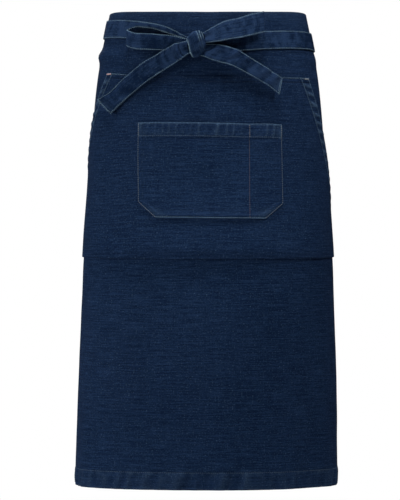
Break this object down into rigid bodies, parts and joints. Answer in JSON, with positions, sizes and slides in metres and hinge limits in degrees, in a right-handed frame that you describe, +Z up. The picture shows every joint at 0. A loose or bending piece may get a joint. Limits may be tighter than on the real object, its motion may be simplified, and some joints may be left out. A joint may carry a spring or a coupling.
{
  "type": "long waist apron",
  "caption": "Long denim waist apron in its worn form, with slanting hand pockets, a divided patch pocket and a waist tie knotted in a bow at the front.",
  "frame": {"origin": "middle of the waist ring, level with the waist edge at the front", "axes": "+Z up along the wearer, front towards -Y, +X on the right as seen from the front"},
  "size_m": [0.4482, 0.2878, 0.8052],
  "materials": {
    "denim": "dark indigo slub denim, matt",
    "tie_denim": "dark indigo denim strip, folded and stitched, worn at its edges"
  },
  "bodies": {
    "root": {"skirt": "denim", "front_panel": "denim", "patch_pocket": "denim", "waist_tie_left": "tie_denim", "waist_tie_right": "tie_denim", "bow_knot": "tie_denim", "bow_loop_left": "tie_denim", "bow_loop_right": "tie_denim", "bow_tail_left": "tie_denim", "bow_tail_right": "tie_denim"}
  },
  "joints": []
}
